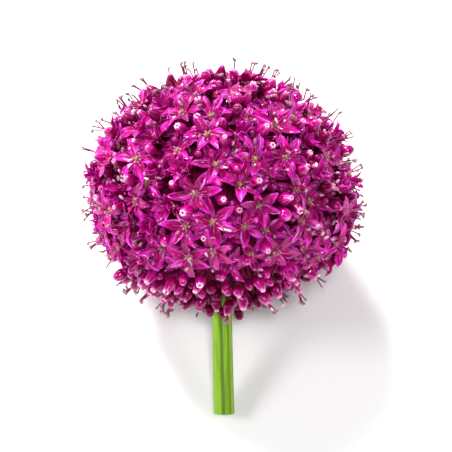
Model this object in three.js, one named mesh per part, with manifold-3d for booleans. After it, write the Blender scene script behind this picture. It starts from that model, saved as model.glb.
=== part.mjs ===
// The cut flower head of an ornamental onion (allium), lying on a table.
//
// A softly ribbed green stalk, the scape, carries a ball of florets, the umbel. Open florets are stars of six
// pointed tepals round a raised ovary, half-open ones are urns with a sunken mouth, and buds are ovoids. They
// stand out of a dense core of packed pedicels.
//
// The plant is modelled upright, with the ball's centre at the origin and the stalk along -Z, and is then
// laid down: the florets under the ball and the rim of the stalk's cut end touch the table, and the stalk
// points to -Y. Units are millimetres and +Z is up. The part's origin is on the table, under the middle of
// its box.
import * as THREE from "three";
import { ConvexHull } from "three/addons/math/ConvexHull.js";
import { mergeVertices } from "three/addons/utils/BufferGeometryUtils.js";
import Module from "manifold-3d";

// The whole plant.
const SCAPE_LENGTH = 79.5; // from the ball's centre to the cut
const SCAPE_RADIUS = 3.75; // over the ribs, at the cut
const FLATTEN = 0.93; // the ball's height along the stalk, over its width
const CORE_RADIUS = 40.3;
const HEAD_X = 1.4; // where the ball's centre lies
const HEAD_Y = 9.9;
const HEAD_HEIGHT = 44.8;

// The florets, as [open, half-open, bud]: how many there are, how far from the ball's centre each starts,
// how much that varies, and how far each may lean, as a slope.
const OPEN = 0;
const HALF_OPEN = 1;
const COUNT = [126, 110, 80];
const BASE_RADIUS = [44.2, 40.4, 40.6];
const BASE_SPREAD = [3.2, 2.6, 3.0];
const LEAN = [0.3, 0.16, 0.14];
const SEED = 20;

// The room that the florets keep, on a ball of radius 1: between each two kinds, and round the stalk.
const ROOM = [
  [0.325, 0.178, 0.178],
  [0.178, 0.165, 0.165],
  [0.178, 0.165, 0.165],
];
const STALK_ROOM = [0.27, 0.19, 0.19];
const SETTLING_STEPS = 150;

// An open floret.
const TEPALS = 6;
const TEPAL_LENGTH = 8.15;
const TEPAL_WAVE = 0.5; // how far the tips rise and fall
const NOTCH_RADIUS = 2.8; // between two tepals, which sets how wide they are
const OVARY_RADIUS = 0.6;
const OVARY_HEIGHT = 1.2;
const STAMEN_REACH = 7.6; // the stamens are one needle on the ovary
const STAMEN_LEAN = 2.2;
const PEDICEL_RADIUS = 0.6;
const PEDICEL_TOP = -1.3;
const PEDICEL_ROOT = 34; // its distance from the ball's centre

// The half-open florets and the buds: how wide the foot and the shoulder are, and how high the shoulder
// and the middle of the end stand.
const CLOSED_SIDES = 5;
const URN = { foot: 2.0, shoulder: 1.6, shoulderHeight: 6.2, endHeight: 4.6 };
const OVOID = { foot: 2.1, shoulder: 1.95, shoulderHeight: 4.2, endHeight: 6.6 };

// The core's own surface, between the florets.
const CORE_POINTS = 90;
const CORE_POINT_ROOM = 0.07;
const CORE_WAVE = 1;

// The stalk.
const SCAPE_RIBS = 12;
const SCAPE_RIB_DEPTH = 0.22;
const SCAPE_BOW = 1.1; // how far the cut end stands to +X
const SCAPE_TAPER = 0.96; // its radius inside the ball, over that at the cut
const SCAPE_TOP = -8;
const SOCKET_SIDES = 12;
const SOCKET_GAP = 0.35;

const PETAL_MAGENTA = new THREE.MeshStandardMaterial({ color: 0xa0256f, roughness: 0.42, metalness: 0 });
const STALK_GREEN = new THREE.MeshStandardMaterial({ color: 0x7ba832, roughness: 0.5, metalness: 0 });

const wasm = await Module();
wasm.setup();

// A seeded generator of numbers from 0 to 1.
function makeRandom(seed) {
  let state = seed >>> 0;
  return () => {
    state = (state + 0x6d2b79f5) >>> 0;
    let mixed = Math.imul(state ^ (state >>> 15), state | 1);
    mixed = (mixed + Math.imul(mixed ^ (mixed >>> 7), mixed | 61)) ^ mixed;
    return ((mixed ^ (mixed >>> 14)) >>> 0) / 2 ** 32;
  };
}

function randomDirection(random) {
  const z = 1 - 2 * random();
  const turn = 2 * Math.PI * random();
  const across = Math.sqrt(1 - z * z);
  return new THREE.Vector3(across * Math.cos(turn), across * Math.sin(turn), z);
}

// The point of the flattened ball of this radius that lies in a direction.
function onBall(direction, radius) {
  return new THREE.Vector3(direction.x, direction.y, direction.z * FLATTEN).multiplyScalar(radius);
}

// Two directions square to an axis: level, and up the ball.
function squareTo(axis) {
  const level = new THREE.Vector3(-axis.y, axis.x, 0).normalize();
  return [level, new THREE.Vector3().crossVectors(axis, level)];
}

// Directions that start at random and push each other apart until each floret has its room.
function settle(kinds, random) {
  const directions = kinds.map(() => randomDirection(random));
  const stalk = new THREE.Vector3(0, 0, -1);
  const pushFrom = (other, direction, room) => {
    const away = direction.clone().sub(other);
    const distance = away.length();
    return away.multiplyScalar(distance < room ? (room - distance) / (2 * distance) : 0);
  };
  for (let step = 0; step < SETTLING_STEPS; step++) {
    const pushes = directions.map((direction, i) => {
      const push = pushFrom(stalk, direction, STALK_ROOM[kinds[i]]);
      directions.forEach((other, j) => {
        if (j !== i) push.add(pushFrom(other, direction, ROOM[kinds[i]][kinds[j]]));
      });
      return push;
    });
    directions.forEach((direction, i) => direction.add(pushes[i]).normalize());
  }
  return directions;
}

// The spin that turns a gap between two tepals towards the nearest urn or bud.
function spinClear(i, kinds, directions) {
  const [level, up] = squareTo(directions[i]);
  const closed = directions.filter((_, j) => kinds[j] !== OPEN);
  const distances = closed.map((other) => other.distanceTo(directions[i]));
  const towards = closed[distances.indexOf(Math.min(...distances))].clone().sub(directions[i]);
  return Math.atan2(towards.dot(up), towards.dot(level)) + Math.PI / TEPALS;
}

// Every floret's kind, direction from the ball's centre, base, outward axis, spin about it and size.
function layOutFlorets() {
  const random = makeRandom(SEED);
  const kinds = COUNT.flatMap((count, kind) => Array(count).fill(kind));
  const directions = settle(kinds, random);
  return kinds.map((kind, i) => {
    const direction = directions[i];
    const base = onBall(direction, BASE_RADIUS[kind] + BASE_SPREAD[kind] * (random() - 0.5));
    const [level, up] = squareTo(direction);
    const axis = direction
      .clone()
      .addScaledVector(level, 2 * LEAN[kind] * (random() - 0.5))
      .addScaledVector(up, 2 * LEAN[kind] * (random() - 0.5))
      .normalize();
    const size = 0.92 + 0.16 * random();
    const turn = 2 * Math.PI * random();
    const spin = kind === OPEN ? spinClear(i, kinds, directions) : turn;
    return { kind, direction, base, axis, size, spin, turn };
  });
}

// Points given as a radius, an angle and a height round an axis through a base.
function placer(base, axis) {
  const [level, up] = squareTo(axis);
  return (radius, angle, height) =>
    base
      .clone()
      .addScaledVector(level, radius * Math.cos(angle))
      .addScaledVector(up, radius * Math.sin(angle))
      .addScaledVector(axis, height);
}

// Gathers the corners and the faces of a closed mesh.
class MeshBuilder {
  constructor() {
    this.corners = [];
    this.triangles = [];
  }
  corner(point) {
    this.corners.push(...point.toArray());
    return this.corners.length / 3 - 1;
  }
  ring(count, place) {
    return Array.from({ length: count }, (_, i) => this.corner(place(i)));
  }
  face(first, ...others) {
    for (let i = 1; i < others.length; i++) this.triangles.push(first, others[i - 1], others[i]);
  }
  solid() {
    const vertProperties = new Float32Array(this.corners);
    const triVerts = new Uint32Array(this.triangles);
    return new wasm.Manifold(new wasm.Mesh({ numProp: 3, vertProperties, triVerts }));
  }
}

// A star of six tepals, with a needle on its ovary and a pedicel that tapers to a root in the core.
function openFloret({ base, axis, size, spin, turn }) {
  const mesh = new MeshBuilder();
  const place = placer(base, axis);
  const at = (radius, angle, height) => place(radius * size, angle + spin, height * size);
  const sixth = (2 * Math.PI) / TEPALS;
  const atThird = (i) => (2 * i + 0.5) * sixth;
  const ovary = mesh.ring(3, (i) => at(OVARY_RADIUS, atThird(i), OVARY_HEIGHT));
  const neck = mesh.ring(3, (i) => at(PEDICEL_RADIUS, atThird(i), PEDICEL_TOP));
  const notch = mesh.ring(TEPALS, (i) => at(NOTCH_RADIUS, (i - 0.5) * sixth, -0.1));
  const point = mesh.ring(TEPALS, (i) =>
    at(TEPAL_LENGTH, i * sixth, 0.3 + TEPAL_WAVE * Math.cos(2 * i * sixth + turn)),
  );
  const stamen = mesh.corner(at(STAMEN_LEAN, turn, STAMEN_REACH));
  const root = mesh.corner(base.clone().setLength(PEDICEL_ROOT));
  for (let i = 0; i < TEPALS; i++) {
    const third = i >> 1;
    const nextNotch = notch[(i + 1) % TEPALS];
    mesh.face(ovary[third], notch[i], point[i], nextNotch);
    mesh.face(neck[third], nextNotch, point[i], notch[i]);
  }
  for (let i = 0; i < 3; i++) {
    const next = (i + 1) % 3;
    mesh.face(ovary[i], notch[2 * next], ovary[next]);
    mesh.face(neck[i], neck[next], notch[2 * next]);
    mesh.face(ovary[i], ovary[next], stamen);
    mesh.face(neck[i], root, neck[next]);
  }
  return mesh.solid();
}

// The core with the urns and buds that rise from it. Its corners are joined up like the convex hull of
// their directions, and each corner then stands at its own place.
function coreSolid(florets) {
  const closed = florets.filter(({ kind }) => kind !== OPEN);
  const mesh = new MeshBuilder();
  const directions = [];
  const add = (direction, point) => {
    directions.push(direction.clone().normalize());
    mesh.corner(point);
  };
  for (const { kind, direction, base, axis, size, spin } of closed) {
    const form = kind === HALF_OPEN ? URN : OVOID;
    const foot = onBall(direction, CORE_RADIUS);
    const rise = base.length() - foot.length();
    const place = placer(foot, axis);
    const placeDirection = placer(direction, direction);
    const ring = (spread, radius, height) => {
      for (let i = 0; i < CLOSED_SIDES; i++) {
        const angle = spin + (2 * Math.PI * i) / CLOSED_SIDES;
        add(placeDirection(spread / CORE_RADIUS, angle, 0), place(radius * size, angle, height));
      }
    };
    ring(form.foot, form.foot, 0);
    ring(form.foot / 2, form.shoulder, rise + form.shoulderHeight * size);
    add(direction, place(0, 0, rise + form.endHeight * size));
  }
  const random = makeRandom(SEED + 1);
  for (let i = 0; i < CORE_POINTS; ) {
    const direction = randomDirection(random);
    if (closed.some((floret) => floret.direction.distanceTo(direction) < CORE_POINT_ROOM)) continue;
    add(direction, onBall(direction, CORE_RADIUS + CORE_WAVE * (random() - 0.5)));
    i++;
  }
  const numbers = new Map(directions.map((direction, i) => [direction, i]));
  for (const { edge } of new ConvexHull().setFromPoints(directions).faces) {
    mesh.face(...[edge, edge.next, edge.prev].map((side) => numbers.get(side.head().point)));
  }
  return mesh.solid();
}

// A column round the stalk's bowed middle line, with a ring of corners for each [height, radius]. Every
// other corner is ribDepth nearer the middle.
function column(rings, sides, ribDepth) {
  const mesh = new MeshBuilder();
  const place = (z, out, angle) => {
    const bow = SCAPE_BOW * (z / SCAPE_LENGTH) ** 2;
    return new THREE.Vector3(bow + out * Math.cos(angle), out * Math.sin(angle), z);
  };
  const loops = rings.map(([z, radius]) =>
    mesh.ring(sides, (i) => place(z, radius - (i % 2) * ribDepth, (2 * Math.PI * i) / sides)),
  );
  const bottom = mesh.corner(place(rings[0][0], 0, 0));
  const top = mesh.corner(place(rings[rings.length - 1][0], 0, 0));
  for (let i = 0; i < sides; i++) {
    const next = (i + 1) % sides;
    for (let n = 1; n < loops.length; n++) {
      mesh.face(loops[n - 1][i], loops[n - 1][next], loops[n][next], loops[n][i]);
    }
    mesh.face(bottom, loops[0][next], loops[0][i]);
    mesh.face(top, loops[loops.length - 1][i], loops[loops.length - 1][next]);
  }
  return mesh.solid();
}

function scapeSolid() {
  const heights = [1, 0.75, 0.5, 0.3].map((share) => -share * SCAPE_LENGTH);
  const taper = (z) => SCAPE_RADIUS * (SCAPE_TAPER + (1 - SCAPE_TAPER) * (-z / SCAPE_LENGTH));
  return column([...heights, SCAPE_TOP].map((z) => [z, taper(z)]), 2 * SCAPE_RIBS, SCAPE_RIB_DEPTH);
}

// The room that the ball leaves for the stalk.
function socketSolid() {
  const radius = (SCAPE_RADIUS + SOCKET_GAP) / Math.cos(Math.PI / SOCKET_SIDES);
  const heights = [-0.75 * SCAPE_LENGTH, -0.5 * SCAPE_LENGTH, SCAPE_TOP + SOCKET_GAP];
  return column(heights.map((z) => [z, radius]), SOCKET_SIDES, 0);
}

function headSolid() {
  const florets = layOutFlorets();
  const open = florets.filter(({ kind }) => kind === OPEN).map(openFloret);
  return open.reduce((sum, floret) => sum.add(floret), coreSolid(florets)).subtract(socketSolid());
}

// How far the stalk slopes down when both the ball and the rim of the cut touch the table.
const SLOPE =
  Math.asin(HEAD_HEIGHT / Math.hypot(SCAPE_LENGTH, SCAPE_RADIUS)) - Math.atan(SCAPE_RADIUS / SCAPE_LENGTH);
const LAY_DOWN = new THREE.Matrix4()
  .makeTranslation(HEAD_X, HEAD_Y, HEAD_HEIGHT)
  .multiply(new THREE.Matrix4().makeRotationX(SLOPE - Math.PI / 2));

// What lies under the table's top, which the florets under the ball are pressed flat against.
function tableSolid() {
  const box = new THREE.BoxGeometry(300, 300, 20).translate(0, 0, -10);
  box.deleteAttribute("normal");
  box.deleteAttribute("uv");
  const { attributes, index } = mergeVertices(box);
  const triVerts = new Uint32Array(index.array);
  return new wasm.Manifold(new wasm.Mesh({ numProp: 3, vertProperties: attributes.position.array, triVerts }));
}

// A named mesh from an upright solid, laid down on the table.
function node(name, solid, material) {
  const { vertProperties, triVerts } = solid.transform(LAY_DOWN.elements).subtract(tableSolid()).getMesh();
  const geometry = new THREE.BufferGeometry();
  geometry.setAttribute("position", new THREE.BufferAttribute(vertProperties, 3));
  geometry.setIndex(new THREE.BufferAttribute(triVerts, 1));
  geometry.computeVertexNormals();
  const mesh = new THREE.Mesh(geometry, material);
  mesh.name = name;
  return mesh;
}

const allium = new THREE.Group();
allium.add(node("flower_head", headSolid(), PETAL_MAGENTA));
allium.add(node("scape", scapeSolid(), STALK_GREEN));

export default allium;
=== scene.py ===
"""The looks of the allium flower head: florets with petals, stamens and pedicels, and the ribbed stalk."""

import math

import bpy
import numpy as np
from mathutils import Matrix, Vector


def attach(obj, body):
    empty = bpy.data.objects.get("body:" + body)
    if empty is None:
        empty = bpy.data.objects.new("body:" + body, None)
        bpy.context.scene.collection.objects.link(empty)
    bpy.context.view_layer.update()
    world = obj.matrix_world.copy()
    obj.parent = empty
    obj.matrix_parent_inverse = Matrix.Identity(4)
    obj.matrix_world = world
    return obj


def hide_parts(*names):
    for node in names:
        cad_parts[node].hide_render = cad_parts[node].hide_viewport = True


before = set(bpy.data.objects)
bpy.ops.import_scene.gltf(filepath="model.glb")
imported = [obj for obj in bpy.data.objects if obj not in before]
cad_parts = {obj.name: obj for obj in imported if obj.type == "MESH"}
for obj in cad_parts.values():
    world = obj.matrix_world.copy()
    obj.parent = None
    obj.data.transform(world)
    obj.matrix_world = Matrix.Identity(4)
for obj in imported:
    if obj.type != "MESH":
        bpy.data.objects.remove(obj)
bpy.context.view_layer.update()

# Lengths are in millimetres until a mesh is made. The plant's dimensions are those of the CAD model, which
# has fewer florets than this. Here their number was chosen to be as dense as in the photo.
METRE = 1000

# The stalk: its length from its cut end to the ball's middle, its radius at the cut end, the share of that
# which is left at the ball's middle, how far the cut end bows to one side, and how high the stalk's top is,
# measured from the ball's middle.
SCAPE_LENGTH = 79.5
SCAPE_RADIUS = 3.75
SCAPE_TAPER = 0.96
SCAPE_BOW = 1.1
SCAPE_TOP = -8
# How far its skin is inside the CAD model's, and how deep a groove of depth 1 goes.
SCAPE_INSET = 0.05
GROOVE_DEPTH = 0.16
# The grooves: where each runs, as a share of a turn, how wide it is, in the same measure, and its depth.
GROOVES = (
    (0.735, 0.03, 1.0), (0.845, 0.018, 0.7), (0.96, 0.02, 0.8), (0.06, 0.025, 0.9), (0.17, 0.02, 0.6),
    (0.27, 0.03, 1.0), (0.39, 0.02, 0.7), (0.5, 0.02, 0.5), (0.6, 0.015, 0.25),
)

# The ball: its height as a share of its width, how far its florets are set down towards the stalk, and where
# its middle lies in the row's frame.
FLATTEN = 0.92
DROP = 1.3
HEAD_X = 1.4
HEAD_Y = 9.9
HEAD_HEIGHT = 44.8
HEAD_CENTRE = np.array([HEAD_X, HEAD_Y, HEAD_HEIGHT])
# The size of the dark mass inside the ball, and how far out the longest stamens reach.
INNER_RADIUS = 34.0
REACH = 52.2

# The slope of the stalk, which lies with the lower edge of its cut end on the table.
TO_CUT_EDGE = math.hypot(SCAPE_LENGTH, SCAPE_RADIUS)
SLOPE = math.asin(HEAD_HEIGHT / TO_CUT_EDGE) - math.atan(SCAPE_RADIUS / SCAPE_LENGTH)
TO_ROW = np.array(Matrix.Rotation(SLOPE - math.pi / 2, 3, "X"))

# The kinds of floret: open stars, urns and buds, lower stars in the gaps between them, and young buds below.
OPEN, URN, BUD, LOWER, YOUNG = range(5)
COUNT = (158, 205, 108)
LOWER_COUNT = 56
YOUNG_COUNT = 520
# For each kind: how far its base is from the ball's middle, how much that varies, and how far it may lean.
BASE_RADIUS = (43.4, 42.8, 43.6, 40.6, 39.4)
BASE_SPREAD = (4.6, 3.0, 3.4, 2.0, 4.4)
LEAN = (0.38, 0.24, 0.28, 0.35, 0.3)
SEED = 20

# The florets' places are worked out on a ball of radius 1, with the stalk straight down. This is the room
# that open stars, urns and buds keep between each two of their kinds, and round the stalk.
ROOM = np.array([[0.28, 0.17, 0.17], [0.17, 0.14, 0.14], [0.17, 0.14, 0.14]])
STALK_ROOM = np.array([1.08, 0.3, 0.3])
YOUNG_ROOM = 0.145
GOLDEN_ANGLE = math.pi * (3 - math.sqrt(5))
START_JITTER = 0.03
SETTLING_STEPS = 220
# The ring of buds that hang round the stalk.
COLLAR_COUNT = 9
COLLAR_ROOM = 0.15
# Below this height, this share of the buds has opened to urns.
LOW_HEIGHT = -0.35
LOW_OPENED = 0.8
# The gaps for the lower stars: how many spots are tried, how low they go, and how far each kind of floret
# fills the ball round it.
GAP_SPOTS = 4000
GAP_LOWEST = -0.6
GAP_REACH = np.array([0.2, 0.11, 0.11, 0.2])
# How near an urn or a bud is when an open floret turns a gap between its tepals to it.
CLEAR_REACH = 0.27
# How far up from the stalk florets are smaller and sit deeper, and the most by which they do.
NEAR_STALK = 0.3
STALK_SHRINK = 0.22
STALK_RECESS = 4.5

# How far above the table each form is kept, and over what height above that it eases in.
TEPAL_CLEARANCE = 0.08
STAMEN_CLEARANCE = 0.45
STYLE_CLEARANCE = 0.3
CLOSED_CLEARANCE = 0.05
STAR_BASE_CLEARANCE = 1.7
EASING = 1.0

TEPALS = 6
TEPAL_LENGTH = 8.3
TEPAL_HALF_WIDTH = 1.72
TEPAL_THICKNESS = 0.3
# Where a star's tepals start: how far out from its axis, and how high.
TEPAL_FOOT = 0.75
TEPAL_FOOT_HEIGHT = 0.05
STYLE_RADIUS = 0.16
STYLE_FOOT_HEIGHT = 1.3
# The shares of the stars that are cupped, of the fallen stamens that still have an anther, and of the anthers
# that are fresh.
CUPPED_SHARE = 0.16
FALLEN_WHOLE_SHARE = 0.06
FRESH_SHARE = 0.1

# The points round each kind of loft.
TUBE_SIDES = 6
ANTHER_SIDES = 8
OVARY_SIDES = 18
CLOSED_SIDES = 24
YOUNG_SIDES = 12


def to_row(points):
    """Points of the upright plant, in the row's frame."""
    return points @ TO_ROW.T + HEAD_CENTRE


# ---------------------------------------------------------------- the florets' places

def unit(vectors):
    return vectors / np.linalg.norm(vectors, axis=-1, keepdims=True)


def on_ball(direction, radius):
    """A point of the upright plant, this far out from the ball's middle before the ball is flattened."""
    return direction * radius * np.array([1, 1, FLATTEN]) - [0, 0, DROP]


def square_to(axis):
    """Two directions square to an axis and to each other. The first is level."""
    level = unit(np.array([-axis[1], axis[0], 0]))
    return level, np.cross(axis, level)


def pushes(away, room):
    """Pushes along these differences between points, each half of what its difference falls short of room."""
    distance = np.linalg.norm(away, axis=-1, keepdims=True) + 1e-9
    return away * np.maximum(room[..., None] - distance, 0) / (2 * distance)


def even_directions(count):
    """Directions spread evenly over a ball, on a spiral from its top."""
    height = np.linspace(1, -1, count, endpoint=False) - 1 / count
    turn = np.arange(count) * GOLDEN_ANGLE
    level = np.sqrt(1 - height**2)
    return np.stack([level * np.cos(turn), level * np.sin(turn), height], axis=-1)


def settle(room, stalk_room, rng):
    """Directions that start evenly spread, in a random order, and push apart until each has its room."""
    directions = rng.permutation(even_directions(len(room)))
    directions = unit(directions + rng.normal(0, START_JITTER, directions.shape))
    room = room * (1 - np.eye(len(room)))
    for _ in range(SETTLING_STEPS):
        apart = pushes(directions[:, None] - directions, room).sum(axis=1)
        directions = unit(directions + apart + pushes(directions - [0, 0, -1], stalk_room))
    return directions


def collar_directions():
    """The directions of the buds that hang in a ring round the stalk."""
    turn = np.arange(COLLAR_COUNT) * 2 * math.pi / COLLAR_COUNT - math.pi / 2
    down = np.full(COLLAR_COUNT, -1)
    return unit(np.stack([COLLAR_ROOM * np.cos(turn), COLLAR_ROOM * np.sin(turn), down], axis=-1))


def widest_gaps(kinds, directions):
    """The directions of the widest gaps. Each is filled by a lower star before the next is looked for."""
    spots = even_directions(GAP_SPOTS)
    spots = spots[spots[:, 2] > GAP_LOWEST]
    away = np.linalg.norm(spots[:, None] - directions, axis=-1) / GAP_REACH[kinds]
    clearance = away.min(axis=1)
    gaps = []
    for _ in range(LOWER_COUNT):
        widest = clearance.argmax()
        gaps.append(spots[widest])
        filled = np.linalg.norm(spots - spots[widest], axis=-1) / GAP_REACH[LOWER]
        clearance = np.minimum(clearance, filled)
    return np.array(gaps)


def spin_clear(i, kinds, directions):
    """The spin that turns an open floret's gaps between tepals towards the urns and buds round it."""
    level, up = square_to(directions[i])
    to = directions[(kinds == URN) | (kinds == BUD)] - directions[i]
    nearness = np.maximum(CLEAR_REACH - np.linalg.norm(to, axis=1), 0)
    turns = np.arctan2(to @ up, to @ level)
    return (np.angle(nearness @ np.exp(1j * TEPALS * turns)) + math.pi) / TEPALS


class Floret:
    """A floret's kind and size, with its base and its own axes in the row's frame."""

    def __init__(self, kind, direction, spin, rng):
        self.kind = kind
        # 0 on most of the ball, and up to 1 at the stalk.
        self.near_stalk = 0 if kind == YOUNG else max(0, -direction[2] - (1 - NEAR_STALK)) / NEAR_STALK
        # 1 on the side that faces up as the flower lies, and 0 on the sides and below.
        self.upper = max(0, -direction[1])
        self.size = rng.uniform(0.9, 1.08) * (1 - STALK_SHRINK * self.near_stalk)
        self.spin = spin
        level, up = square_to(direction)
        lean = rng.uniform(-LEAN[kind], LEAN[kind], 2)
        axis = unit(direction + level * lean[0] + up * lean[1])
        radius = BASE_RADIUS[kind] + BASE_SPREAD[kind] * rng.uniform(-0.5, 0.5)
        radius -= rng.uniform(0, STALK_RECESS) * self.near_stalk
        self.base = to_row(on_ball(direction, radius))
        self.axes = np.array([*square_to(axis), axis]) @ TO_ROW.T

    def place(self, points):
        """Points given from the floret's base and along its own axes, in the row's frame."""
        return points @ self.axes + self.base


def lay_out_florets(rng):
    """Every floret of the plant, outer ones first."""
    kinds = np.repeat([OPEN, URN, BUD], COUNT)
    directions = settle(ROOM[kinds][:, kinds], STALK_ROOM[kinds], rng)
    low = (kinds == BUD) & (directions[:, 2] < LOW_HEIGHT)
    kinds[low & (rng.random(len(kinds)) < LOW_OPENED)] = URN
    directions = np.concatenate([directions, widest_gaps(kinds, directions), collar_directions()])
    kinds = np.concatenate([kinds, np.full(LOWER_COUNT, LOWER), np.full(COLLAR_COUNT, BUD)])
    stars = np.isin(kinds, (OPEN, LOWER))
    spins = [
        spin_clear(i, kinds, directions) if star else rng.uniform(0, 6)
        for i, star in enumerate(stars)
    ]
    young = settle(np.full((YOUNG_COUNT, YOUNG_COUNT), YOUNG_ROOM), np.full(YOUNG_COUNT, YOUNG_ROOM), rng)
    outer = [Floret(*floret, rng) for floret in zip(kinds, directions, spins)]
    return outer + [Floret(YOUNG, direction, 0, rng) for direction in young]


def press(points, clearance):
    """Keeps points a clearance above the table, easing in just above that."""
    height = points[..., 2] - clearance
    eased = EASING * np.exp(np.minimum(height, EASING) / EASING - 1)
    pressed = points.copy()
    pressed[..., 2] = clearance + np.where(height > EASING, height, eased)
    return pressed


# ---------------------------------------------------------------- meshes

class Piece:
    """Gathers lofts into one mesh, with named values at its points for the material."""

    def __init__(self, name):
        self.name = name
        self.points, self.quads, self.triangles = [], [], []
        self.values = {}
        self.count = 0

    def loft(self, rings, **values):
        """A closed skin over rings of points, with a cap at each end. A ring turns anticlockwise as it is
        seen from the loft's far end."""
        rows, sides, _ = rings.shape
        number = self.count + np.arange(rows * sides).reshape(rows, sides)
        after = np.roll(number, -1, axis=1)
        quads = np.stack([number[:-1], after[:-1], after[1:], number[1:]], axis=-1)
        first, last = self.count + rows * sides, self.count + rows * sides + 1
        caps = [
            np.stack([np.full(sides, first), after[0], number[0]], axis=-1),
            np.stack([np.full(sides, last), number[-1], after[-1]], axis=-1),
        ]
        self.points += [rings.reshape(-1, 3), rings[[0, -1]].mean(axis=1)]
        self.quads.append(quads.reshape(-1, 4))
        self.triangles += caps
        for key, value in values.items():
            full = np.broadcast_to(value, (rows, sides))
            self.values.setdefault(key, []).extend([full.ravel(), full[[0, -1]].mean(axis=1)])
        self.count += rows * sides + 2

    def make(self, material, slot):
        """The mesh as an object that rides on the flower's one body."""
        points = np.concatenate(self.points) / METRE
        quads, triangles = np.concatenate(self.quads), np.concatenate(self.triangles)
        corners = np.concatenate([quads.ravel(), triangles.ravel()])
        sizes = np.repeat([4, 3], [len(quads), len(triangles)])
        mesh = bpy.data.meshes.new(self.name)
        mesh.vertices.add(len(points))
        mesh.vertices.foreach_set("co", points.ravel())
        mesh.loops.add(len(corners))
        mesh.loops.foreach_set("vertex_index", corners)
        mesh.polygons.add(len(sizes))
        mesh.polygons.foreach_set("loop_start", np.cumsum(sizes) - sizes)
        mesh.update(calc_edges=True)
        mesh.shade_smooth()
        for key, value in self.values.items():
            mesh.attributes.new(key, "FLOAT", "POINT").data.foreach_set("value", np.concatenate(value))
        mesh.materials.append(material)
        piece = bpy.data.objects.new(self.name, mesh)
        bpy.context.scene.collection.objects.link(piece)
        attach(piece, "root")
        return piece


# A direction that hardly any path runs along, which settles how a tube's rings are turned.
TUBE_SIDE = (0.31, 0.57, 0.76)


def tube_rings(path, radii, sides, flat=1.0, side=TUBE_SIDE):
    """Rings round a path. Square to the side given, the tube is flat times as thick as it is along it."""
    along = unit(np.gradient(path, axis=0))
    second = unit(np.cross(along, side))
    first = np.cross(second, along)
    angle = np.linspace(0, 2 * math.pi, sides, endpoint=False)
    out = first[:, None] * np.cos(angle)[:, None] + second[:, None] * (flat * np.sin(angle))[:, None]
    return path[:, None] + out * np.reshape(radii, (-1, 1, 1))


def turned(profile, sides, spin, lobes=0, lobe_depth=0.0):
    """Rings of a turned form from (radius, height) points, and lobes, if any, of a depth given at each."""
    angle = np.linspace(0, 2 * math.pi, sides, endpoint=False) + spin
    radius, height = np.array(profile).T
    out = radius[:, None] * (1 + np.outer(lobe_depth, np.cos(lobes * (angle - spin))))
    level = np.broadcast_to(height[:, None], out.shape)
    return np.stack([out * np.cos(angle), out * np.sin(angle), level], axis=-1)


def seams(count, sides, width):
    """How near each point of a ring is to a seam between tepals: 1 on a seam, and 0 well away from one."""
    turn = np.linspace(0, 2 * math.pi, sides, endpoint=False)
    return np.exp(-((np.sin(count / 2 * turn) / width) ** 2))


def smooth_profile(points, steps):
    """A rounder profile through a few (radius, height) points, as a Catmull-Rom curve."""
    p = np.array(points, float)
    p = np.concatenate([[2 * p[0] - p[1]], p, [2 * p[-1] - p[-2]]])
    t = np.linspace(0, 1, steps, endpoint=False)[:, None]
    curves = [
        0.5 * (2 * b + (c - a) * t + (2 * a - 5 * b + 4 * c - d) * t**2 + (3 * b - a - 3 * c + d) * t**3)
        for a, b, c, d in zip(p[:-3], p[1:-2], p[2:-1], p[3:])
    ]
    return np.concatenate([*curves, p[-2:-1]])


# ---------------------------------------------------------------- florets

# A tepal's cross-section: how far across each point lies, and 1 on the outer face.
TEPAL_ACROSS = np.array([1, 0.85, 0.45, 0, -0.45, -0.85, -1, -0.6, 0, 0.6])
TEPAL_OUTER = np.array([0, 0, 0, 0, 0, 0, 0, 1, 1, 1])
TEPAL_ROWS = 11


def add_tepal(piece, floret, angle, base_rise, tip_rise, length, width, rng):
    """One tepal, at an angle round the star. Its rises are how steep it is at its foot and at its tip."""
    along = np.linspace(0, 1, TEPAL_ROWS)
    rise = base_rise + (tip_rise - base_rise) * along**0.8
    step = length / (TEPAL_ROWS - 1)
    out = TEPAL_FOOT + np.concatenate([[0], np.cumsum(np.cos(rise[1:]) * step)])
    height = TEPAL_FOOT_HEIGHT + np.concatenate([[0], np.cumsum(np.sin(rise[1:]) * step)])
    bend = angle + rng.normal(0, 0.08) * along**2
    middle = np.stack([out * np.cos(bend), out * np.sin(bend), height], axis=-1)
    # The tepal's own axes at each row, twisted a little about its length.
    forward = unit(np.gradient(middle, axis=0))
    sideways = unit(np.cross([0, 0, 1], forward))
    normal = np.cross(forward, sideways)
    twist = (rng.normal(0, 0.4) * along)[:, None]
    lateral = sideways * np.cos(twist) + normal * np.sin(twist)
    normal = normal * np.cos(twist) - sideways * np.sin(twist)
    # It is widest before its middle and pointed at its tip, folded along its length, and wavy at its edges.
    shape = (along + 0.1) ** 0.75 * (1.0 - along) ** 0.85
    half = width * (shape / shape.max()) + 0.03
    fold = rng.uniform(0.2, 0.75)
    ripple = 0.16 * np.sin(along * 8 + rng.uniform(0, 6))[:, None]
    crimp = 0.2 * np.sin(along * 13 + rng.uniform(0, 6))[:, None]
    edge = np.abs(TEPAL_ACROSS)
    lift = half[:, None] * (fold * edge**1.1 + ripple * TEPAL_ACROSS + crimp * edge**2)
    thickness = TEPAL_THICKNESS * (1 - 0.75 * along[:, None]) * (1 - 0.6 * edge**2) + 0.03
    lift = lift - TEPAL_OUTER * thickness
    rings = middle[:, None] + lateral[:, None] * (half[:, None] * TEPAL_ACROSS)[..., None]
    rings = rings + normal[:, None] * lift[..., None]
    placed = press(floret.place(rings), TEPAL_CLEARANCE)
    piece.loft(placed, along=along[:, None], across=TEPAL_ACROSS, outer=TEPAL_OUTER, tone=rng.random())


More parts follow.
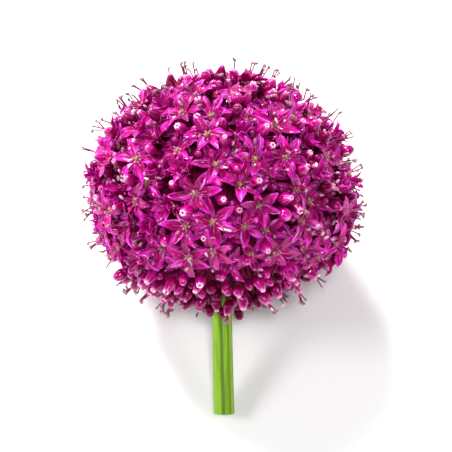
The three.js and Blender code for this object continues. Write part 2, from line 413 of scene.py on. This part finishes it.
def add_open(pieces, floret, rng):
    """An open star, spread wide or cupped: six tepals, each with a stamen at its foot, and an ovary."""
    floret.base = press(floret.base, STAR_BASE_CLEARANCE)
    cupped = rng.random() < CUPPED_SHARE
    base_rise = math.radians(rng.uniform(60, 74) if cupped else rng.uniform(18, 44))
    tip_rise = math.radians(rng.uniform(42, 78) if cupped else rng.uniform(-30, 14))
    reach = 0.8 if cupped else 1
    vigour = rng.random()
    for i in range(TEPALS):
        inner = i % 2
        piece = pieces["inner_tepals" if inner else "outer_tepals"]
        angle = floret.spin + (i + rng.uniform(-0.09, 0.09)) * 2 * math.pi / TEPALS
        jitter = math.radians(rng.normal(0, 12))
        rises = base_rise + inner * 0.1 + jitter / 2, tip_rise + jitter
        length = TEPAL_LENGTH * reach * floret.size * rng.uniform(0.9, 1.05)
        width = TEPAL_HALF_WIDTH * floret.size * (0.88 if inner else 1.04)
        add_tepal(piece, floret, angle, *rises, length, width, rng)
        add_star_stamen(pieces, floret, angle, vigour, rng)
    add_ovary(pieces, floret, rng)


def add_star_stamen(pieces, floret, angle, vigour, rng):
    """A stamen that stands up from the foot of a tepal, or has wilted down on it."""
    # Fewer stand on a less vigorous star, and on the side that faces up.
    upright = rng.random() < (0.08 + 0.42 * vigour) * (1 - 0.7 * floret.upper)
    rise = math.radians(rng.uniform(68, 88) if upright else rng.uniform(15, 50))
    length = floret.size * (rng.uniform(5.0, 8.2) if upright else rng.uniform(2.2, 4.5))
    along = np.linspace(0, 1, 8)
    turn = angle + rng.normal(0, 0.25) * along
    out = 1.0 + length * math.cos(rise) * along**1.2
    height = 0.2 + length * math.sin(rise) * along
    path = np.stack([out * np.cos(turn), out * np.sin(turn), height], axis=-1)
    add_stamen(pieces, floret.place(path), upright or rng.random() < FALLEN_WHOLE_SHARE, rng)


def add_stamen(pieces, path, whole, rng):
    """A filament along a path, with its anther if it is whole."""
    path = press(keep_in_reach(path), STAMEN_CLEARANCE)
    share = np.linspace(0, 1, len(path))
    radii = np.interp(share, [0, 0.12, 0.3, 1], [0.6, 0.4, 0.28, 0.24])
    rings = tube_rings(path, radii, TUBE_SIDES)
    pieces["filaments"].loft(rings, along=share[:, None], tone=rng.random(), whole=float(whole))
    if whole:
        add_anther(pieces, path, rng)


def keep_in_reach(path):
    """Draws a stamen's path back until its tip is within the reach, measured as if the ball were round."""
    tip = path[-1] - HEAD_CENTRE
    plant_up = TO_ROW[:, 2]
    tip = tip + tip @ plant_up * plant_up * (1 / FLATTEN - 1)
    beyond = max(np.linalg.norm(tip) - REACH, 0)
    return path - unit(path[-1] - path[0]) * beyond * np.linspace(0, 1, len(path))[:, None]


def add_anther(pieces, path, rng):
    """An anther that lies across the end of a filament's path. The fresh ones are paler."""
    fresh = rng.random() < FRESH_SHARE
    heading = unit(path[-1] - path[-2])
    level = unit(np.cross(heading, rng.normal(size=3)))
    lying = unit(level + heading * rng.normal(0, 0.9))
    reach = 1.15 * rng.uniform(0.85, 1.1)
    steps = np.linspace(-1, 1, 7)
    spine = path[-1] + heading * 0.1 + lying * (steps[:, None] + 0.4) * reach * 0.8
    radii = (0.5 if fresh else 0.52) * (1.02 - steps**2 * 0.98) ** 0.4
    rings = tube_rings(press(spine, STAMEN_CLEARANCE), radii, ANTHER_SIDES, 0.75, level)
    pieces["anthers"].loft(rings, along=(steps[:, None] + 1) / 2, fresh=float(fresh), tone=rng.random())


def add_ovary(pieces, floret, rng):
    """The three-lobed ovary in the middle of a star, with its style."""
    profile = smooth_profile([(0.5, -0.5), (0.82, 0.1), (0.98, 0.75), (0.7, 1.35), (0.2, 1.6)], 2)
    depth = np.interp(profile[:, 1], [-0.5, 0.3, 1.2, 1.7], [0, 0.16, 0.22, 0.1])
    rings = floret.place(turned(profile * floret.size, OVARY_SIDES, floret.spin, 3, depth))
    pieces["ovaries"].loft(rings, along=np.linspace(0, 1, len(profile))[:, None], tone=rng.random())
    along = np.linspace(0, 1, 5)
    x, y, tip_height = *rng.normal(0, 0.5, 2), rng.uniform(3.2, 5.0)
    height = STYLE_FOOT_HEIGHT + (tip_height - STYLE_FOOT_HEIGHT) * along
    path = floret.place(np.stack([x * along**2, y * along**2, height], axis=-1))
    rings = tube_rings(press(path, STYLE_CLEARANCE), np.full(len(path), STYLE_RADIUS), TUBE_SIDES)
    pieces["filaments"].loft(rings, along=0.3 + 0.5 * along[:, None], tone=rng.random(), whole=0.0)


def set_down(floret, rings):
    """Places a closed floret's rings, and slides the floret in where it would go into the table."""
    placed = floret.place(rings)
    lowest = placed[..., 2].min()
    rise = press(np.array([0, 0, lowest]), CLOSED_CLEARANCE)[2] - lowest
    floret.base = floret.base + [0, 0, rise]
    return placed + [0, 0, rise]


def bend_over(rings, rng):
    """Bends a closed floret's rings a little to one side."""
    lean = rng.normal(0, 0.05, 2)
    rings[..., :2] += rings[..., 2:] ** 2 * lean / 6
    return rings


def add_urn(pieces, floret, rng):
    """Six tepals closed round a mouth, from which stamens may stand out."""
    belly = rng.uniform(1.9, 2.45)
    mouth = rng.uniform(0.24, 0.4)
    lip = mouth + rng.uniform(0.5, 0.75)
    length = rng.uniform(5.4, 6.9)
    outline = [
        (0.5, -0.4), (belly * 0.72, length * 0.1), (belly, length * 0.36), (belly * 0.9, length * 0.6),
        (lip * 1.15, length * 0.9), (lip * 0.9, length), (mouth * 1.05, length - 0.15),
        (mouth, length - 0.7), (mouth * 0.8, length - 1.7),
    ]
    profile = smooth_profile(outline, 2) * floret.size
    steps = np.linspace(0, 1, len(profile))
    seam = seams(TEPALS, CLOSED_SIDES, 0.45)
    depth = np.interp(steps, [0, 0.15, 0.4, 0.62, 0.75, 1], [0, 0.06, 0.1, 0.18, 0.22, 0.05])
    # The lip dips at each seam, so that its edge is scalloped.
    dip = np.interp(steps, [0, 0.5, 0.63, 0.8, 1], [0, 0, 0.35, 0.1, 0])
    rings = turned(profile, CLOSED_SIDES, floret.spin)
    rings[..., :2] *= (1 - depth[:, None] * seam)[..., None]
    rings[..., 2] -= dip[:, None] * seam
    placed = set_down(floret, bend_over(rings, rng))
    across = np.broadcast_to(seam, rings.shape[:2])
    # A random tone, raised round the stalk so that the florets there are darkened with painted shade.
    tone = max(rng.random(), floret.near_stalk)
    pieces["urns"].loft(placed, along=steps[:, None], across=across, tone=tone)
    add_urn_stamens(pieces, floret, length, rng)


def add_urn_stamens(pieces, floret, length, rng):
    """None to three stamens that stand out of an urn of this length, fewer on the side that faces up."""
    bare = 0.5 + 0.3 * floret.upper
    chances = [bare, 0.4 * (1 - bare), 0.34 * (1 - bare), 0.26 * (1 - bare)]
    for _ in range(rng.choice([0, 1, 2, 3], p=chances)):
        along = np.linspace(0, 1, 6)[:, None]
        heading = np.array([*rng.normal(0, 0.22, 2), 1])
        reach = rng.uniform(4.2, 7.0) * (1 - 0.4 * floret.near_stalk)
        path = np.array([0, 0, length - 1.6]) * floret.size + heading * along * reach
        add_stamen(pieces, floret.place(path), True, rng)


def bud_rings(floret, belly, length, steps_between, sides):
    """The rings of a bud with three shallow seams, and how far along it and how near a seam each point is."""
    outline = [
        (0.5, -0.4), (belly * 0.75, length * 0.14), (belly, length * 0.42), (belly * 0.93, length * 0.66),
        (belly * 0.6, length * 0.9), (0.14, length),
    ]
    profile = smooth_profile(outline, steps_between) * floret.size
    along = np.linspace(0, 1, len(profile))
    seam = seams(3, sides, 0.3)
    depth = np.interp(along, [0, 0.3, 0.8, 1], [0, 0.08, 0.14, 0.03])
    rings = turned(profile, sides, floret.spin)
    rings[..., :2] *= (1 - depth[:, None] * seam)[..., None]
    return rings, along[:, None], np.broadcast_to(seam, rings.shape[:2])


def add_bud(pieces, floret, rng):
    rings, along, across = bud_rings(floret, rng.uniform(1.65, 2.15), rng.uniform(4.6, 5.8), 2, CLOSED_SIDES)
    placed = set_down(floret, bend_over(rings, rng))
    # A random tone, raised round the stalk so that the buds there are darkened with painted shade.
    pieces["buds"].loft(placed, along=along, across=across, tone=max(rng.random(), floret.near_stalk))


def add_young(pieces, floret, rng):
    rings, along, across = bud_rings(floret, rng.uniform(1.5, 2.1), rng.uniform(4.2, 5.4), 1, YOUNG_SIDES)
    pieces["young_buds"].loft(set_down(floret, rings), along=along, across=across, tone=rng.random())


def add_pedicel(pieces, floret, rng):
    """The outer part of a floret's pedicel, which runs in towards the ball's middle and bows a little."""
    along = np.linspace(0, 1, 6)[:, None]
    inner = HEAD_CENTRE + (floret.base - HEAD_CENTRE) * 0.7
    start = floret.base - floret.axes[2] * 0.2
    path = inner + (start - inner) * along - floret.axes[2] * 0.6 * np.sin(math.pi * along)
    radii = np.interp(along[:, 0], [0, 0.8, 1], [0.42, 0.42, 0.62])
    pieces["pedicels"].loft(tube_rings(path, radii, TUBE_SIDES), along=along, tone=rng.random())


def add_inner(pieces, rng):
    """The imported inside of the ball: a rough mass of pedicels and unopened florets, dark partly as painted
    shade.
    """
    rows, sides = 40, 64
    turn = np.linspace(0, 2 * math.pi, sides, endpoint=False)
    lift = np.linspace(-math.pi / 2 + 0.03, math.pi / 2 - 0.03, rows)[:, None]
    waves = 0.035 * np.sin(9 * turn + 5 * lift) * np.sin(11 * lift)
    bumps = 1 + waves + 0.02 * rng.normal(size=(rows, sides))
    x = np.cos(lift) * np.cos(turn) * bumps
    y = np.cos(lift) * np.sin(turn) * bumps
    z = np.sin(lift) * bumps * FLATTEN
    rings = to_row(np.stack([x, y, z], axis=-1) * INNER_RADIUS)
    pieces["inner"].loft(rings, tone=rng.random((rows, sides)))


def add_stalk(pieces):
    """The ribbed stalk. Its grooves wander a little, and its cut end doesn't go through the table."""
    sides, rows = 120, 60
    z = np.linspace(-SCAPE_LENGTH, SCAPE_TOP, rows)[:, None]
    share = -z / SCAPE_LENGTH
    turn = np.linspace(0, 1, sides, endpoint=False)
    drift = 0.008 * np.sin(z / 9) + 0.004 * np.sin(z / 3.7)
    groove = 0
    for place, width, depth in GROOVES:
        groove = groove + depth * np.exp(-(((turn + drift - place) / width) ** 2))
    radius = SCAPE_RADIUS * (SCAPE_TAPER + (1 - SCAPE_TAPER) * share)
    out = radius - SCAPE_INSET - GROOVE_DEPTH * groove
    angle = 2 * math.pi * turn
    rings = np.stack([out * np.cos(angle), out * np.sin(angle), np.broadcast_to(z, out.shape)], axis=-1)
    rings[..., 0] += SCAPE_BOW * share**2
    placed = to_row(rings)
    placed[..., 2] = np.maximum(placed[..., 2], 0)
    pieces["stalk"].loft(placed, groove=groove, around=turn, along=share)


# ---------------------------------------------------------------- materials

def colour(red, green, blue):
    """An sRGB colour, from 0 to 255, as linear RGBA."""
    shares = (red / 255, green / 255, blue / 255)
    linear = [share / 12.92 if share <= 0.04045 else ((share + 0.055) / 1.055) ** 2.4 for share in shares]
    return (*linear, 1.0)


class Shader:
    """A material's nodes. A method that returns something returns a node's output, for others to take."""

    def __init__(self, name, roughness, specular=0.5):
        self.material = bpy.data.materials.new(name)
        self.material.use_nodes = True
        self.tree = self.material.node_tree
        self.principled = self.tree.nodes["Principled BSDF"]
        self.set("Roughness", roughness)
        self.set("Specular IOR Level", specular)

    def set(self, name, value):
        """Gives an input of the material itself a number, a colour or another node's output."""
        socket = self.principled.inputs[name]
        if isinstance(value, bpy.types.NodeSocket):
            self.tree.links.new(value, socket)
        else:
            socket.default_value = value

    def node(self, kind, inputs, output=0, **settings):
        """Adds a node, with numbers, colours or other nodes' outputs as its inputs."""
        node = self.tree.nodes.new(kind)
        for key, value in settings.items():
            setattr(node, key, value)
        for key, value in inputs.items():
            if isinstance(value, bpy.types.NodeSocket):
                self.tree.links.new(value, node.inputs[key])
            elif value is not None:
                node.inputs[key].default_value = value
        return node.outputs[output]

    def value(self, name):
        """The named value that a piece has at its points."""
        return self.node("ShaderNodeAttribute", {}, "Fac", attribute_name=name)

    def maths(self, operation, first, second=None):
        return self.node("ShaderNodeMath", {0: first, 1: second}, operation=operation)

    def between(self, value, low, high, out_low=0.0, out_high=1.0):
        """Maps low..high smoothly to out_low..out_high."""
        inputs = {0: value, 1: low, 2: high, 3: out_low, 4: out_high}
        return self.node("ShaderNodeMapRange", inputs, interpolation_type="SMOOTHSTEP")

    def mix(self, share, first, second, blend="MIX"):
        """Two colours mixed, with this share of the second. A Mix node's colours are its inputs 6 and 7."""
        inputs = {0: share, 6: first, 7: second}
        return self.node("ShaderNodeMix", inputs, 2, data_type="RGBA", blend_type=blend)

    def multiply(self, share, first, second):
        return self.mix(share, first, second, "MULTIPLY")

    def ramp(self, value, *stops):
        """A colour that follows a value through stops of (position, colour)."""
        node = self.tree.nodes.new("ShaderNodeValToRGB")
        self.tree.links.new(value, node.inputs[0])
        elements = node.color_ramp.elements
        while len(elements) < len(stops):
            elements.new(0.5)
        for element, (position, shade) in zip(elements, stops):
            element.position = position
            element.color = shade
        return node.outputs[0]

    def noise(self, scale, detail=2.0):
        """Noise in the row's frame, with this many waves to a metre."""
        place = self.node("ShaderNodeTexCoord", {}, "Object")
        return self.node("ShaderNodeTexNoise", {"Vector": place, "Scale": scale, "Detail": detail}, 0)

    def bump(self, height, strength, distance):
        """Relief from a height, whose full range is this many millimetres."""
        inputs = {"Height": height, "Strength": strength, "Distance": distance / METRE}
        self.set("Normal", self.node("ShaderNodeBump", inputs))


def streaks(shader, crosswise, lengthwise):
    """Noise drawn out along a petal, different on each."""
    across = shader.maths("MULTIPLY", shader.value("across"), crosswise)
    along = shader.maths("MULTIPLY", shader.value("along"), lengthwise)
    apart = shader.maths("MULTIPLY", shader.value("tone"), 60)
    place = shader.node("ShaderNodeCombineXYZ", {0: across, 1: along, 2: apart})
    return shader.node("ShaderNodeTexNoise", {"Vector": place, "Scale": 1.0, "Detail": 3.0}, 0)


# The tint of the petals' own gloss. Their thin clear coat has none.
SHEEN = colour(255, 110, 232)


def petal_material():
    shader = Shader("petal", 0.28, 0.42)
    shader.set("Specular Tint", SHEEN)
    shader.set("Coat Roughness", 0.13)
    shader.set("Coat IOR", 1.45)
    shader.set("Subsurface Weight", 0.3)
    shader.set("Subsurface Radius", (1.0, 0.12, 0.6))
    shader.set("Subsurface Scale", 0.0008)
    tone, edge = shader.value("tone"), shader.maths("ABSOLUTE", shader.value("across"))
    shader.set("Coat Weight", shader.between(edge, 0.6, 1.0, 0.45, 0.0))
    # Darker at the foot and paler at the tip. The palest tip is partly painted highlight.
    body = shader.ramp(
        shader.value("along"),
        (0.0, colour(124, 0, 54)), (0.2, colour(160, 0, 84)), (0.6, colour(182, 0, 114)),
        (0.88, colour(232, 12, 180)), (0.96, colour(255, 116, 232)),
    )
    body = shader.mix(shader.between(tone, 0.5, 1.0, 0.0, 0.6), body, colour(144, 0, 88))
    # Light and dark patches, then light and dark streaks: tone that varies from tepal to tepal, and painted
    # highlight, sheen and shade on the folds.
    patch, streak, fine = streaks(shader, 1.1, 1.7), streaks(shader, 2.2, 1.3), streaks(shader, 4.0, 1.5)
    body = shader.mix(shader.between(patch, 0.52, 0.68, 0.0, 0.75), body, colour(242, 40, 216))
    body = shader.mix(shader.between(patch, 0.34, 0.52, 0.9, 0.0), body, colour(112, 0, 58))
    body = shader.mix(shader.between(streak, 0.57, 0.72, 0.0, 0.9), body, colour(255, 132, 248))
    body = shader.mix(shader.between(streak, 0.3, 0.42, 0.5, 0.0), body, colour(124, 0, 70))
    # A light edge, partly painted highlight, a dark rib down the middle, and a darker outer face.
    body = shader.mix(shader.between(edge, 0.8, 1.0, 0.0, 0.35), body, colour(240, 40, 196))
    body = shader.mix(shader.between(edge, 0.0, 0.14, 0.25, 0.0), body, colour(120, 0, 70))
    body = shader.mix(shader.maths("MULTIPLY", shader.value("outer"), 0.5), body, colour(148, 0, 88))
    shader.set("Base Color", body)
    shader.bump(fine, 1.0, 0.8)
    return shader.material


def closed_gloss(shader, tone):
    """The gloss of a closed floret, less on the darker ones."""
    shader.set("Specular Tint", SHEEN)
    shader.set("Coat Weight", shader.between(tone, 0.5, 1.0, 0.6, 0.2))
    shader.set("Specular IOR Level", shader.between(tone, 0.5, 1.0, 0.6, 0.25))


def urn_material():
    shader = Shader("urn", 0.2)
    along, tone, seam = shader.value("along"), shader.value("tone"), shader.value("across")
    closed_gloss(shader, tone)
    shader.set("Coat Roughness", 0.1)
    streak = streaks(shader, 2.0, 2.5)
    # The body, darker towards its foot, a pale mouth, and a throat darkened with painted shade.
    body = shader.ramp(
        along,
        (0.0, colour(84, 2, 40)), (0.2, colour(140, 0, 70)), (0.38, colour(168, 0, 102)),
        (0.46, colour(186, 8, 130)), (0.52, colour(246, 110, 190)), (0.58, colour(255, 206, 230)),
        (0.78, colour(255, 206, 230)), (0.9, colour(76, 0, 34)),
    )
    body = shader.mix(shader.between(streak, 0.5, 0.7, 0.0, 0.5), body, colour(222, 40, 190))
    body = shader.multiply(shader.between(streak, 0.3, 0.5, 0.6, 0.0), body, colour(170, 90, 150))
    # The darker florets keep a pale mouth. Their darkening is random tone, plus painted shade on those round
    # the stalk.
    below_mouth = shader.between(along, 0.44, 0.54, 1.0, 0.3)
    dark = shader.maths("MULTIPLY", shader.between(tone, 0.2, 1.0, 0.0, 0.9), below_mouth)
    body = shader.multiply(dark, body, colour(146, 50, 112))
    body = shader.multiply(shader.between(seam, 0.3, 0.9, 0.0, 0.55), body, colour(140, 30, 90))
    shader.set("Base Color", body)
    shader.bump(streak, 0.25, 0.3)
    return shader.material


def bud_material():
    shader = Shader("bud", 0.18)
    along, tone, seam = shader.value("along"), shader.value("tone"), shader.value("across")
    closed_gloss(shader, tone)
    shader.set("Coat Roughness", 0.09)
    streak = streaks(shader, 2.0, 2.5)
    body = shader.ramp(
        along,
        (0.0, colour(100, 26, 44)), (0.15, colour(130, 0, 70)), (0.55, colour(164, 0, 96)),
        (0.85, colour(182, 2, 128)), (1.0, colour(232, 120, 190)),
    )
    body = shader.mix(shader.between(streak, 0.5, 0.72, 0.0, 0.5), body, colour(226, 20, 180))
    body = shader.multiply(shader.between(streak, 0.3, 0.5, 0.6, 0.0), body, colour(170, 90, 150))
    # Darker florets: random tone, plus painted shade on those round the stalk.
    body = shader.multiply(shader.between(tone, 0.2, 1.0, 0.0, 0.9), body, colour(148, 60, 116))
    body = shader.multiply(shader.between(seam, 0.4, 0.9, 0.0, 0.55), body, colour(130, 40, 100))
    shader.set("Base Color", body)
    shader.bump(streak, 0.4, 0.4)
    return shader.material


def ovary_material():
    shader = Shader("ovary", 0.4, 0.25)
    body = shader.ramp(
        shader.value("along"),
        (0.0, colour(190, 60, 120)), (0.3, colour(206, 140, 140)), (0.45, colour(146, 112, 70)),
        (0.8, colour(136, 112, 66)), (1.0, colour(190, 150, 126)),
    )
    body = shader.mix(shader.between(shader.noise(900), 0.4, 0.7, 0.0, 0.5), body, colour(108, 80, 48))
    shader.set("Base Color", body)
    shader.bump(shader.noise(2500), 0.3, 0.1)
    return shader.material


def filament_material():
    shader = Shader("filament", 0.4, 0.3)
    along = shader.value("along")
    standing = shader.ramp(
        along,
        (0.0, colour(250, 196, 216)), (0.16, colour(246, 170, 204)), (0.32, colour(200, 40, 136)),
        (0.6, colour(108, 8, 66)), (1.0, colour(92, 40, 66)),
    )
    wilted = shader.ramp(
        along, (0.1, colour(240, 150, 200)), (0.35, colour(176, 12, 112)), (1.0, colour(190, 40, 130))
    )
    shader.set("Base Color", shader.mix(shader.value("whole"), wilted, standing))
    return shader.material


def anther_material():
    shader = Shader("anther", 0.6, 0.2)
    pale = shader.mix(shader.value("tone"), colour(255, 228, 212), colour(246, 184, 200))
    dull = shader.mix(shader.value("tone"), colour(142, 104, 118), colour(190, 150, 162))
    body = shader.mix(shader.value("fresh"), dull, pale)
    body = shader.mix(shader.between(shader.noise(3000), 0.4, 0.7, 0.0, 0.35), body, colour(150, 64, 100))
    shader.set("Base Color", body)
    shader.bump(shader.noise(4000), 0.4, 0.1)
    return shader.material


def pedicel_material():
    shader = Shader("pedicel", 0.5, 0.2)
    body = shader.ramp(
        shader.value("along"), (0.0, colour(60, 48, 18)), (0.6, colour(96, 36, 36)), (1.0, colour(136, 4, 76))
    )
    body = shader.mix(shader.between(shader.value("tone"), 0.3, 1.0, 0.0, 0.8), body, colour(104, 2, 56))
    shader.set("Base Color", body)
    return shader.material


def inner_material():
    shader = Shader("inner", 0.7, 0.1)
    mottle = shader.between(shader.noise(600, 4), 0.35, 0.62)
    # A dark mottled colour, partly painted shade for the deep gaps between florets.
    shader.set("Base Color", shader.mix(mottle, colour(96, 0, 46), colour(128, 0, 64)))
    shader.bump(shader.noise(900, 3), 0.8, 1.0)
    return shader.material


def stalk_material():
    shader = Shader("stalk", 0.42, 0.3)
    fibres = streaks_along(shader)
    body = shader.mix(shader.between(fibres, 0.36, 0.66), colour(110, 152, 12), colour(134, 178, 24))
    # Darker green in the grooves: partly the stalk's own streaks, partly painted shade.
    body = shader.mix(shader.between(shader.value("groove"), 0.1, 0.75), body, colour(74, 118, 2))
    shader.set("Base Color", body)
    shader.bump(fibres, 0.25, 0.2)
    return shader.material


def streaks_along(shader):
    """Noise drawn out along the stalk."""
    turn = shader.maths("MULTIPLY", shader.value("around"), 2 * math.pi)
    along = shader.maths("MULTIPLY", shader.value("along"), 0.8)
    x, y = shader.maths("COSINE", turn), shader.maths("SINE", turn)
    place = shader.node("ShaderNodeCombineXYZ", {0: x, 1: y, 2: along})
    return shader.node("ShaderNodeTexNoise", {"Vector": place, "Scale": 6.0, "Detail": 3.0}, 0)


# ---------------------------------------------------------------- the flower

def build_flower():
    bud, petal = bud_material(), petal_material()
    looks = {
        "outer_tepals": (petal, "petal"),
        "inner_tepals": (petal, "petal"),
        "urns": (urn_material(), "petal"),
        "buds": (bud, "petal"),
        "young_buds": (bud, "petal"),
        "ovaries": (ovary_material(), "ovary"),
        "filaments": (filament_material(), "petal"),
        "anthers": (anther_material(), "anther"),
        "pedicels": (pedicel_material(), "pedicel"),
        "inner": (inner_material(), "pedicel"),
        "stalk": (stalk_material(), "stalk"),
    }
    pieces = {name: Piece(name) for name in looks}
    rng = np.random.default_rng(SEED)
    add = {OPEN: add_open, LOWER: add_open, URN: add_urn, BUD: add_bud, YOUNG: add_young}
    for floret in lay_out_florets(rng):
        add[floret.kind](pieces, floret, rng)
        add_pedicel(pieces, floret, rng)
    add_inner(pieces, rng)
    add_stalk(pieces)
    made = {name: piece.make(*looks[name]) for name, piece in pieces.items()}
    for name, piece in made.items():
        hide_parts("scape" if name == "stalk" else "flower_head")


# ---------------------------------------------------------------- the scene

def direction_in_view(right, up, towards):
    """A direction given as seen by the camera, in the row's frame."""
    view_up = np.array([0, math.cos(SLOPE), math.sin(SLOPE)])
    view_towards = np.array([0, -math.sin(SLOPE), math.cos(SLOPE)])
    return np.array([1, 0, 0]) * right + view_up * up + view_towards * towards


def add_sun(name, strength, softness, right, up, towards):
    """A light without falloff, this many degrees wide, from a direction given as seen by the camera."""
    data = bpy.data.lights.new(name, "SUN")
    data.energy = strength
    data.angle = math.radians(softness)
    light = bpy.data.objects.new(name, data)
    direction = Vector(direction_in_view(right, up, towards))
    light.rotation_euler = direction.to_track_quat("Z", "Y").to_euler()
    bpy.context.scene.collection.objects.link(light)


def build_floor():
    """A plain pale floor, just under the table's level. Far off, it rises all round in a low rim."""
    half_width, level, rim_half_width, rim_height = 2, -0.0004, 6, 0.8
    corners = [
        (x * reach, y * reach, height)
        for reach, height in ((half_width, level), (rim_half_width, rim_height))
        for x, y in ((-1, -1), (1, -1), (1, 1), (-1, 1))
    ]
    rim = [(i, i + 4, (i + 1) % 4 + 4, (i + 1) % 4) for i in range(4)]
    mesh = bpy.data.meshes.new("floor")
    mesh.from_pydata(corners, [], [(0, 1, 2, 3), *rim])
    shader = Shader("floor", 0.9, 0.1)
    shader.set("Base Color", (0.9, 0.9, 0.9, 1))
    mesh.materials.append(shader.material)
    floor = bpy.data.objects.new("floor", mesh)
    bpy.context.scene.collection.objects.link(floor)


def build_lights():
    world = bpy.data.worlds.new("studio")
    world.use_nodes = True
    background = world.node_tree.nodes["Background"]
    background.inputs["Color"].default_value = (1, 1, 1, 1)
    background.inputs["Strength"].default_value = 0.2
    bpy.context.scene.world = world
    bpy.context.scene.view_settings.view_transform = "Standard"
    add_sun("key", 6.3, 20, -0.36, 0.96, 0.3)
    add_sun("left", 1.4, 20, -0.8, 0.25, 0.6)
    add_sun("right", 0.4, 20, 0.75, 0.25, 0.65)
    add_sun("front", 1.6, 14, 0.05, 0.16, 0.98)


def build_camera():
    """Looks down on the flower, square to the stalk, so that the stalk points straight down the picture."""
    distance, aim_right, aim_up = 0.452, 0.0018, -0.0121
    data = bpy.data.cameras.new("camera")
    data.lens = 100
    data.sensor_width = 36
    camera = bpy.data.objects.new("camera", data)
    aim = HEAD_CENTRE / METRE + direction_in_view(aim_right, aim_up, 0)
    camera.location = aim + direction_in_view(0, 0, distance)
    axes = [direction_in_view(*axis) for axis in ((1, 0, 0), (0, 1, 0), (0, 0, 1))]
    camera.rotation_euler = Matrix(axes).transposed().to_euler()
    bpy.context.scene.collection.objects.link(camera)
    bpy.context.scene.camera = camera


build_flower()
build_floor()
build_lights()
build_camera()
